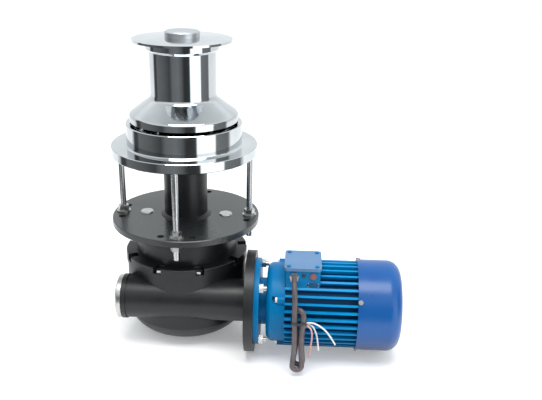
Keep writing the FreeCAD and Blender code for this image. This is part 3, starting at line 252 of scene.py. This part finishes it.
def make_painted_shade():
    """A colour darkened as painted shade near the motor's axis, between its fins, and below a
    height, near the ground.
    """
    tree, start, end = new_group(
        "painted shade",
        [("Color", COLOR, WHITE), ("Dark", COLOR, BLACK),
         ("Full shade radius", FLOAT, 0.0), ("Unshaded radius", FLOAT, 0.001),
         ("Low", FLOAT, -10.0), ("High", FLOAT, -9.0), ("Amount", FLOAT, 0.8)],
        [("Color", COLOR)])
    # Painted shade: the colour darkens between the fins, where shade falls, and towards the bottom.
    _, y, z = split_axes(tree, place_on(tree))
    across = math_node(tree, "SUBTRACT", y, MOTOR_AXIS[1])
    above = math_node(tree, "SUBTRACT", z, MOTOR_AXIS[2])
    fades = [map_range(tree, value, start.outputs[full_shade_key], start.outputs[no_shade_key],
                       ends=(1.0, 0.0), smooth="SMOOTHSTEP")
             for value, full_shade_key, no_shade_key in ((hypotenuse(tree, across, above),
                                          "Full shade radius", "Unshaded radius"),
                                         (z, "Low", "High"))]
    either = math_node(tree, "MAXIMUM", *fades)
    share = math_node(tree, "MULTIPLY", either, start.outputs["Amount"])
    colour = mix_colours(tree, share, start.outputs["Color"], start.outputs["Dark"])
    tree.links.new(colour, end.inputs["Color"])
    return tree


PAINTED_SHADE = make_painted_shade()
print("groups:", [g.name for g in bpy.data.node_groups])

# %% [markdown]
# ## The finishes
# A finish is one Principled shader fed by the groups. `finish` wires the common parts, and
# each material below only states what makes that surface different.

# %% Finish maker
COAT_ROUGHNESS = 0.08


def shader_of(material):
    """The Principled node of a material."""
    return next(n for n in material.node_tree.nodes if n.type == "BSDF_PRINCIPLED")


def ring_height(tree, rings, about_x):
    """The height of tool marks about the drum's axis, or about the motor's axis."""
    place = place_on(tree)
    if about_x:
        turned = node(tree, "ShaderNodeMapping", vector_type="TEXTURE", Vector=place,
                      Location=MOTOR_AXIS, Rotation=(0, np.pi / 2, 0))
        place = turned.outputs["Vector"]
    marks = use_group(tree, TOOL_MARKS, {"Vector": place, "Rings per metre": rings})
    return marks.outputs["Height"]


def finish(name, dark, light, gloss, spread=0.06, metallic=0.0, cloud=9.0, grain=None,
           rings=None, bump=0.1, depth=0.0002, coat=0.0, about_x=False, painted_shade=None,
           specular=0.5):
    """A material whose colour drifts from dark to light, with a height from grain or rings.

    Its roughness swings by spread about gloss. The drift's scale is cloud, grain is the scale
    of a grain, rings counts tool marks per metre, and bump and depth are the height's strength
    and distance in metres. The painted shade is given as inputs of the painted shade group."""
    made = bpy.data.materials.new(name)
    made.use_nodes = True
    tree, shader = made.node_tree, shader_of(made)
    shader.inputs["Metallic"].default_value = metallic
    shader.inputs["Coat Weight"].default_value = coat
    shader.inputs["Coat Roughness"].default_value = COAT_ROUGHNESS
    shader.inputs["Specular IOR Level"].default_value = specular
    cloudy = use_group(tree, CLOUDINESS, {"Tint A": (*dark, 1), "Tint B": (*light, 1),
                                          "Scale": cloud, "Gloss": gloss, "Spread": spread})
    colour = cloudy.outputs["Color"]
    # Painted shade darkens the colour between the fins and towards the bottom.
    if painted_shade:
        colour = use_group(tree, PAINTED_SHADE, {"Color": colour, **painted_shade}).outputs["Color"]
    tree.links.new(colour, shader.inputs["Base Color"])
    tree.links.new(cloudy.outputs["Roughness"], shader.inputs["Roughness"])
    if grain or rings:
        height = (use_group(tree, GRAIN, {"Scale": grain}).outputs["Height"] if grain
                  else ring_height(tree, rings, about_x))
        relief = node(tree, "ShaderNodeBump", Strength=bump, Distance=depth, Height=height)
        tree.links.new(relief.outputs["Normal"], shader.inputs["Normal"])
    return made


# %% [markdown]
# The drum and ring are polished stainless steel. Under the deck all is satin black paint,
# over castings and over turned plate. The motor is sprayed blue, with a bluer-violet cowl.

# %% Outer steel
POLISHED = finish("polished steel", (0.55, 0.57, 0.59), (0.66, 0.68, 0.695), gloss=0.07,
                  spread=0.05, metallic=1.0, cloud=14, rings=1500, bump=0.035, depth=0.00004)
SATIN = finish("satin steel", (0.52, 0.54, 0.56), (0.60, 0.62, 0.64), gloss=0.42, spread=0.08,
               metallic=1.0, cloud=20, rings=1500, bump=0.05, depth=0.00005)
ZINC = finish("zinc plating", (0.46, 0.46, 0.45), (0.58, 0.58, 0.56), gloss=0.30, spread=0.08,
              metallic=1.0, cloud=90, grain=2600, bump=0.03, depth=0.0001)
ROD_STEEL = finish("rod steel", (0.46, 0.46, 0.47), (0.56, 0.56, 0.57), gloss=0.26, spread=0.06,
                   metallic=1.0, cloud=25, grain=3500, bump=0.02, depth=0.00005)

# %% Paints
# Painted shade: the black casting and the blues darken towards the bottom, fully at this height,
# and the blues darken to navy.
SHADE_HEIGHT = -0.372
SHADE_NAVY = (0.002, 0.012, 0.06, 1)
BLACK_CAST = finish("black casting", (0.008, 0.008, 0.009), (0.015, 0.016, 0.017), gloss=0.38,
                    spread=0.12, cloud=16, grain=420, bump=0.22, depth=0.0004, specular=0.42,
                    painted_shade={"Dark": (0.003, 0.003, 0.004, 1), "Low": SHADE_HEIGHT, "High": -0.28})
BLACK_PLATE = finish("black plate", (0.018, 0.020, 0.021), (0.030, 0.033, 0.034), gloss=0.30,
                     spread=0.10, cloud=7, rings=700, bump=0.05, depth=0.0001, coat=0.2)
BLUE = finish("blue paint", (0.0, 0.135, 0.335), (0.0, 0.185, 0.43), gloss=0.34, spread=0.08,
              cloud=10, grain=700, bump=0.05, specular=0.14,
              painted_shade={"Dark": SHADE_NAVY, "Low": SHADE_HEIGHT, "High": -0.30})
# The fin paint also gets painted shade near the motor's axis, between the fins.
FIN_BLUE = finish("fin paint", (0.0, 0.21, 0.49), (0.0, 0.28, 0.60), gloss=0.34, spread=0.08,
                  cloud=10, grain=700, bump=0.05, specular=0.18,
                  painted_shade={"Dark": SHADE_NAVY, "Full shade radius": 0.0760, "Unshaded radius": 0.0815,
                        "Low": SHADE_HEIGHT, "High": -0.27, "Amount": 0.80})
COWL_BLUE = finish("cowl blue", (0.003, 0.075, 0.28), (0.008, 0.100, 0.35), gloss=0.30,
                   spread=0.08, cloud=6, grain=900, bump=0.03, specular=0.45,
                   painted_shade={"Dark": (0.02, 0.02, 0.05, 1), "Low": SHADE_HEIGHT, "High": -0.28,
                         "Amount": 0.95})
PALE_BLUE = finish("pale blue lid", (0.09, 0.195, 0.36), (0.115, 0.23, 0.41), gloss=0.36,
                   spread=0.08, cloud=20, grain=800, bump=0.05, specular=0.3)
PLATE_BLUE = finish("plate paint", (0.010, 0.065, 0.15), (0.020, 0.090, 0.20), gloss=0.40,
                    spread=0.08, cloud=60, grain=900, bump=0.05, specular=0.14)


# %% Inner metals
def turned_steel(name, about_x):
    """Bright steel with a lathe's marks, for shafts, keys and bearings."""
    return finish(name, (0.52, 0.53, 0.54), (0.66, 0.66, 0.67), gloss=0.24, spread=0.08,
                  metallic=1.0, cloud=30, rings=2200, bump=0.08, depth=0.00005, about_x=about_x)


SHAFT = turned_steel("shaft steel", about_x=False)
GROUND = turned_steel("ground steel", about_x=True)
GREY_IRON = finish("grey iron", (0.16, 0.16, 0.165), (0.26, 0.26, 0.27), gloss=0.55, spread=0.12,
                   metallic=0.8, cloud=20, grain=500, bump=0.25)
BRONZE = finish("bronze", (0.52, 0.30, 0.11), (0.68, 0.42, 0.18), gloss=0.28, spread=0.10,
                metallic=1.0, cloud=40, rings=1600, bump=0.06, depth=0.00005)
LAMINATIONS = finish("core laminations", (0.20, 0.20, 0.21), (0.32, 0.32, 0.34), gloss=0.45,
                     spread=0.1, metallic=0.9, cloud=30, rings=2000, bump=0.3, depth=0.0002,
                     about_x=True)
COPPER = finish("varnished copper", (0.38, 0.13, 0.05), (0.58, 0.24, 0.10), gloss=0.30,
                spread=0.12, metallic=0.9, cloud=120, rings=1200, bump=0.5, depth=0.0004,
                about_x=True)

# %% Rubber and plastic
RUBBER = finish("seal rubber", (0.012, 0.012, 0.013), (0.024, 0.024, 0.025), gloss=0.6,
                spread=0.1, cloud=30, grain=1200, bump=0.2)
BLACK_PLASTIC = finish("black plastic", (0.016, 0.016, 0.018), (0.03, 0.03, 0.032), gloss=0.45,
                       spread=0.1, cloud=30, grain=1500, bump=0.15)
RED_PLASTIC = finish("red plug plastic", (0.20, 0.06, 0.05), (0.30, 0.10, 0.08), gloss=0.45,
                     spread=0.1, cloud=80, grain=1500, bump=0.1)
JACKET = finish("cable jacket", (0.074, 0.058, 0.063), (0.140, 0.113, 0.122), gloss=0.42,
                spread=0.12, cloud=45, grain=900, bump=0.2, depth=0.0003)


def insulation(name, dark, light):
    """The skin of one bared core."""
    return finish(name, dark, light, gloss=0.35, spread=0.1, cloud=70, grain=1500, bump=0.1)


WHITE_CORE = insulation("white insulation", (0.72, 0.72, 0.72), (0.86, 0.86, 0.85))
PALE_CORE = insulation("pale insulation", (0.66, 0.62, 0.60), (0.82, 0.80, 0.78))
PINK_CORE = insulation("pink insulation", (0.55, 0.22, 0.20), (0.74, 0.42, 0.40))

# %% Who wears what
WEARS = {
    POLISHED: "deck_base drum",
    SATIN: "drum_cap",
    ROD_STEEL: "tie_rods",
    ZINC: "tie_rod_washers tie_rod_nuts plate_screws cover_bolts worm_end_cap level_plug "
          "drum_nut flange_studs flange_nuts cowl_screws shield_bolts cable_gland",
    BLACK_CAST: "gear_housing gearbox_cover stand_tube",
    BLACK_PLATE: "mounting_plate",
    BLUE: "motor_end_shield rear_end_shield terminal_box lid_screws",
    FIN_BLUE: "stator_frame",
    COWL_BLUE: "fan_cowl",
    PALE_BLUE: "terminal_lid",
    SHAFT: "main_shaft drum_key wheel_key wheel_spacer drum_spacer main_bearing_outers "
           "main_bearing_inners",
    GROUND: "worm_shaft motor_shaft motor_key small_bearing_outers small_bearing_inners "
            "input_bearing_outer input_bearing_inner",
    GREY_IRON: "wheel_centre",
    BRONZE: "wheel_rim",
    LAMINATIONS: "stator_core rotor_core",
    COPPER: "stator_windings",
    RUBBER: "upper_seal cover_seal input_seal",
    BLACK_PLASTIC: "cooling_fan terminal_board",
    RED_PLASTIC: "blank_plug",
    JACKET: "supply_cable cable_hank",
    WHITE_CORE: "white_core",
    PALE_CORE: "pale_core",
    PINK_CORE: "pink_core",
}
worn = set()
for material, names in WEARS.items():
    for name in names.split():
        nodes[name].data.materials.clear()
        nodes[name].data.materials.append(material)
        worn.add(name)
print("without a finish:", sorted(set(nodes) - worn))

# %% [markdown]
# ## The supply cable
# The cable leaves the gland on the front of the terminal box, bends straight down under its
# own weight and runs into its tied hank. A NURBS curve through the route gives the bend.


# %% Cords
CORD_STEPS, CORD_ROUNDNESS = 24, 8


def route_curve(name, route_mm):
    """A NURBS curve of order 3 whose control points are the route, with the ends kept."""
    data = bpy.data.curves.new(name, "CURVE")
    data.dimensions = "3D"
    data.resolution_u = CORD_STEPS
    spline = data.splines.new("NURBS")
    spline.points.add(len(route_mm) - 1)
    weighted = np.column_stack([np.array(route_mm) * MM, np.ones(len(route_mm))])
    spline.points.foreach_set("co", weighted.ravel())
    spline.order_u = 3
    spline.use_endpoint_u = True
    return data


def cord_curve(name, route_mm, diameter_mm, material):
    """A round cord along the route, closed at both ends."""
    data = route_curve(name, route_mm)
    data.bevel_depth = diameter_mm * MM / 2
    data.bevel_resolution = CORD_ROUNDNESS
    data.use_fill_caps = True
    data.materials.append(material)
    made = add_object(name, data)
    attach(made, "frame")
    return made


def route_length(route_mm):
    """The length in metres of the curve along the route, from its short straight steps."""
    data = route_curve("ruler", route_mm)
    holder = bpy.data.objects.new("ruler", data)
    mesh = bpy.data.meshes.new_from_object(holder)
    points = np.empty(len(mesh.vertices) * 3)
    mesh.vertices.foreach_get("co", points)
    steps = np.diff(points.reshape(-1, 3), axis=0)
    bpy.data.objects.remove(holder)
    bpy.data.meshes.remove(mesh)
    bpy.data.curves.remove(data)
    return float(np.linalg.norm(steps, axis=1).sum())


# %% [markdown]
# The rest of the cable is folded into a hank that hangs from it: down, up, down and up again,
# with a half circle at each end. A half circle of radius r takes six control points at the
# corners of an octagon round it, so that the spline stays close to the circle.

# %% Hank route
OCTAGON = np.tan(np.pi / 8)


def fold(here, there, upwards):
    """Half a turn from one strand to the next: points c + r*(a*across + b*outwards), with
    (a, b) the corners (-1,-t) (-1,t) (-t,1) (t,1) (1,t) (1,-t) of an octagon, t = tan(22.5 deg)."""
    here, there = np.array(here, float), np.array(there, float)
    centre, radius = (here + there) / 2, np.linalg.norm(there - here) / 2
    across = (there - here) / (2 * radius)
    outwards = np.array((0.0, 0.0, 1.0 if upwards else -1.0))
    corners = np.array([(-1, -OCTAGON), (-1, OCTAGON), (-OCTAGON, 1), (OCTAGON, 1),
                        (1, OCTAGON), (1, -OCTAGON)])
    return centre + radius * (corners[:, :1] * across + corners[:, 1:] * outwards)


CABLE_DIAMETER = 10
CABLE_ROUTE = np.vstack([
    [(223.5, -160, -191), (223.5, -173, -191), (225.0, -184.5, -201.5), (226.2, -190.5, -217),
     (226.2, -193.5, -236), (226.4, -196.0, -258), (227.4, -197.5, -285), (227.6, -197.8, -315),
     (225.8, -197.2, -337)],
    fold((224.6, -196.6, -354), (242.8, -194.6, -354), upwards=False),
    [(241.6, -194.6, -337), (239.8, -195.0, -314), (240.0, -195.4, -286), (242.0, -195.0, -266)],
    fold((243.2, -194.5, -250), (226.5, -182.5, -250), upwards=True),
    [(228.6, -182.0, -266), (230.6, -181.8, -290), (230.4, -181.8, -316), (228.2, -182.2, -335)],
    fold((226.5, -182.5, -350), (244.0, -184.0, -350), upwards=False),
    [(242.8, -183.6, -335), (240.9, -183.0, -315), (241.0, -183.8, -296), (241.8, -186.0, -281),
     (244.2, -188.8, -270.5), (250.0, -190.0, -267.6)]])
cable = cord_curve("cable_run", CABLE_ROUTE, CABLE_DIAMETER, JACKET)
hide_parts("supply_cable", "cable_hank")

# %% [markdown]
# The small pieces are grids of points worked out by a formula. Their shapes start from a circle
# that is squared: cos and sin are raised to a power below 1, which pushes them out to a square.


# %% Grid tools
def squared(t, power):
    """s(t) = sign(t)*|t|^power."""
    return np.sign(t) * np.abs(t) ** power


def grid_faces(rows, columns, closed):
    """Quads of a grid whose columns go round, and whose rows do too when it is closed."""
    corner = np.arange(rows)[:, None] * columns + np.arange(columns)[None, :]
    below = np.roll(corner, -1, axis=0)
    faces = np.stack([corner, below, np.roll(below, -1, axis=1), np.roll(corner, -1, axis=1)],
                     axis=-1)
    return (faces if closed else faces[:-1]).reshape(-1, 4).tolist()


def new_piece(name, vertices, faces, material):
    """A smooth mesh piece in metres that rides on the frame."""
    mesh = bpy.data.meshes.new(name)
    mesh.from_pydata(vertices.tolist(), [], faces)
    mesh.polygons.foreach_set("use_smooth", np.full(len(mesh.polygons), True))
    mesh.update()
    mesh.materials.append(material)
    made = add_object(name, mesh)
    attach(made, "frame")
    print(name, len(mesh.polygons), "faces")
    return made


# %% [markdown]
# A flat tie holds the hank below its upper folds. It is a band swept round a rounded square:
# the sweep angle u sets the place on the square and v goes round the band's own section.

# %% Hank tie
TIE_CENTRE = (234.3, -189.2, -262)
TIE_ROWS, TIE_COLUMNS, TIE_POWER = 96, 12, 0.6


def tie_band(half_x, half_y, wide, thick):
    """Band c + ((half_x + o)*s(cos u), (half_y + o)*s(sin u), wide/2*s(sin v)), where
    o = thick/2*s(cos v) is how far the point stands out from the band's middle."""
    u = np.linspace(0, 2 * np.pi, TIE_ROWS, endpoint=False)[:, None]
    v = np.linspace(0, 2 * np.pi, TIE_COLUMNS, endpoint=False)[None, :]
    out = thick / 2 * squared(np.cos(v), TIE_POWER)
    x = (half_x + out) * squared(np.cos(u), TIE_POWER)
    y = (half_y + out) * squared(np.sin(u), TIE_POWER)
    z = wide / 2 * squared(np.sin(v), TIE_POWER) + 0 * u
    return (np.stack([x, y, z], axis=-1) + TIE_CENTRE).reshape(-1, 3) * MM


tie = new_piece("hank_tie", tie_band(half_x=13.9, half_y=13.4, wide=4.6, thick=1.3),
                grid_faces(TIE_ROWS, TIE_COLUMNS, closed=True), BLACK_PLASTIC)
CABLE_LENGTH = route_length(CABLE_ROUTE)
print("cable run", round(CABLE_LENGTH, 4), "m")

# %% Bared cores
CORE_DIAMETER = 3.2
CORE_ROUTES = {
    "white_core": (WHITE_CORE, [(248, -190, -265.2), (257.8, -190, -263.2), (272.65, -189, -270),
                                (290.25, -187, -286), (304, -185, -312)]),
    "pale_core": (PALE_CORE, [(248, -188.2, -268.8), (257.16, -187.4, -269),
                              (264.6, -186.5, -279.4), (270.6, -186, -299.35),
                              (273, -186, -325)]),
    "pink_core": (PINK_CORE, [(248, -191.8, -269), (255.6, -192.6, -271.8), (260, -193, -283.3),
                              (259.45, -192.5, -305), (255.05, -192, -336)]),
}
for name, (material, route) in CORE_ROUTES.items():
    core = cord_curve(name + "_strand", route, CORE_DIAMETER, material)
    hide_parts(name)
    length = route_length(route)
    print(name, round(length, 4), "m")

# %% [markdown]
# ## Small trim on the terminal box
# The box's front carries a small bare plate on four rivets and a square blind plug. All are
# pillows: rounded squares whose height falls off towards a rounded edge.

# %% Box trim
BOX_FRONT = -146.0
PLATE_X, PLATE_Z = 259.5, -209.0
RIVET_X, RIVET_Z = 9.2, 3.3
PLUG_X, PLUG_Z = 241.5, -190.0


def pillow(centre_x, centre_z, wide, high, thick, power, rows=24, columns=36):
    """Front (cx + wide/2*s(cos v)*f, BOX_FRONT - thick*(1 - u^6), cz + high/2*s(sin v)*f), with
    f = u^0.7 from the middle out. One point closes the middle and one the flat back."""
    u = np.linspace(0, 1, rows + 1)[1:, None]
    v = np.linspace(0, 2 * np.pi, columns, endpoint=False)[None, :]
    x = centre_x + wide / 2 * squared(np.cos(v), power) * u ** 0.7
    z = centre_z + high / 2 * squared(np.sin(v), power) * u ** 0.7
    y = BOX_FRONT - thick * (1 - u ** 6) + 0 * v
    middle, back, edge = rows * columns, rows * columns + 1, (rows - 1) * columns
    vertices = np.vstack([np.stack([x, y, z], axis=-1).reshape(-1, 3),
                          (centre_x, BOX_FRONT - thick, centre_z),
                          (centre_x, BOX_FRONT, centre_z)])
    pairs = [(i, (i + 1) % columns) for i in range(columns)]
    faces = grid_faces(rows, columns, closed=False)
    faces += [(middle, i, j) for i, j in pairs] + [(back, edge + j, edge + i) for i, j in pairs]
    return vertices * MM, faces


def flat_piece(name, pillows, material):
    """One piece from several pillows."""
    vertices, faces, start = [], [], 0
    for corners, sides in pillows:
        vertices.append(corners)
        faces += [tuple(i + start for i in side) for side in sides]
        start += len(corners)
    return new_piece(name, np.vstack(vertices), faces, material)


flat_piece("bare_plate", [pillow(PLATE_X, PLATE_Z, wide=22, high=10, thick=0.7, power=0.2)],
           PLATE_BLUE)
flat_piece("plate_rivets", [pillow(PLATE_X + i * RIVET_X, PLATE_Z + k * RIVET_Z, wide=2, high=2,
                                   thick=1.3, power=1.0, rows=6, columns=16)
                            for i in (-1, 1) for k in (-1, 1)], ZINC)
flat_piece("blind_plug", [pillow(PLUG_X, PLUG_Z, wide=7, high=7, thick=1.2, power=0.3)],
           BLACK_PLASTIC)

# %% [markdown]
# ## Floor and light
# Polished steel shows the room more than itself, so the room is drawn as a studio would be
# set: pale paper under and behind the object, cut narrow towards the front, a dim room in
# front of it and at its sides, and one tall soft box at the front right. What the steel
# reflects depends only on the direction in the room, and the paper behind is pale everywhere.

# %% Floor
FLOOR_GAP, FLOOR_GLOW = 0.0002, 0.24
FLOOR_OUTLINE = [(-0.72, -0.62), (0.95, -0.62), (0.95, 0.30), (9.0, 2.75), (9.0, 12.0),
                 (-9.0, 12.0), (-9.0, 3.45), (-0.72, 0.276)]


def stage_sheet(corners, name, material):
    """A flat sheet through the corners."""
    mesh = bpy.data.meshes.new(name)
    mesh.from_pydata(corners, [], [tuple(range(len(corners)))])
    mesh.materials.append(material)
    made = add_object(name, mesh)
    return made


FLOOR = finish("floor", (0.92, 0.92, 0.92), (0.95, 0.95, 0.95), gloss=0.8, spread=0.05, cloud=2)
shader_of(FLOOR).inputs["Emission Color"].default_value = WHITE
shader_of(FLOOR).inputs["Emission Strength"].default_value = FLOOR_GLOW
floor_level = CAD_BOX[0][2] - FLOOR_GAP
stage_sheet([(x, y, floor_level) for x, y in FLOOR_OUTLINE], "floor", FLOOR)

# %% World
COOL_GREY = (0.95, 1.0, 1.02)
PAPER = (1.05, 1.05, 1.05, 1)
# Degrees round the room from the front, growing to the right, and the brightness there.
AROUND_ROOM = [(-180, 1.05), (-125, 0.95), (-112, 0.9), (-106, 0.08), (-96, 0.07), (-90, 0.20),
               (-60, 0.15), (-38, 0.08), (-28, 0.20), (-8, 0.23), (4, 0.15), (12, 0.05),
               (24, 0.05), (31, 0.08), (34, 1.9), (70, 1.9), (73, 0.25), (104, 0.20),
               (110, 0.9), (125, 0.95), (180, 1.05)]
# The height of a direction, as its z, and the brightness there.
UP_TO_CEILING = [(0.0, 1.3), (0.48, 1.3), (0.66, 0.95), (0.86, 0.8), (1.0, 0.6)]
WALL_TOP, CEILING_START = 0.30, 0.62


def ramp(tree, factor, stops):
    """A colour ramp of cool grey stops: pairs of place and brightness."""
    made = node(tree, "ShaderNodeValToRGB", Fac=factor)
    band = made.color_ramp.elements
    while len(band) < len(stops):
        band.new(0.5)
    for element, (place, grey) in zip(band, stops):
        element.position = place
        element.color = (*(grey * tint for tint in COOL_GREY), 1)
    return made.outputs[0]


def studio_world():
    """Brightness by degrees round the room from the front, blended upwards into a ceiling by
    the height of the direction; the camera itself sees plain paper."""
    world = bpy.data.worlds.new("studio")
    world.use_nodes = True
    tree = world.node_tree
    x, y, z = split_axes(tree, place_on(tree, "Generated"))
    azimuth = math_node(tree, "ARCTAN2", x, math_node(tree, "MULTIPLY", y, -1.0))
    share = math_node(tree, "ADD", math_node(tree, "DIVIDE", azimuth, 2 * np.pi), 0.5)
    around = ramp(tree, share, [((degrees + 180) / 360, grey) for degrees, grey in AROUND_ROOM])
    ceiling = ramp(tree, map_range(tree, z, low=0.0, high=1.0), UP_TO_CEILING)
    height = map_range(tree, z, WALL_TOP, CEILING_START, smooth="SMOOTHSTEP")
    room = mix_colours(tree, height, around, ceiling)
    seen_by_camera = node(tree, "ShaderNodeLightPath").outputs["Is Camera Ray"]
    back = tree.nodes["Background"]
    tree.links.new(mix_colours(tree, seen_by_camera, room, PAPER), back.inputs["Color"])
    back.inputs["Strength"].default_value = 1.0
    return world


bpy.context.scene.world = studio_world()
bpy.context.scene.view_settings.view_transform = "Standard"


# %% Lights
def soft_light(name, place, aim, size, power, seen):
    """A soft rectangular light pointed at the aim; only a seen one shows in reflections."""
    data = bpy.data.lights.new(name, "AREA")
    data.shape = "RECTANGLE"
    data.size, data.size_y = size
    data.energy = power
    made = add_object(name, data)
    made.location = place
    made.visible_glossy = seen
    made.rotation_euler = (Vector(aim) - Vector(place)).to_track_quat("-Z", "Y").to_euler()
    print("light", name, power, "W")


soft_light("key", place=(0.20, -0.60, 1.35), aim=(0.20, -0.10, -0.25), size=(1.3, 0.75),
           power=22, seen=True)
soft_light("fill", place=(1.5, -1.5, 0.9), aim=(0.2, -0.1, -0.2), size=(0.5, 1.2),
           power=3, seen=False)
soft_light("top", place=(0.1, 0.9, 2.0), aim=(0.1, 0.6, -0.3), size=(2.4, 1.6),
           power=6, seen=False)
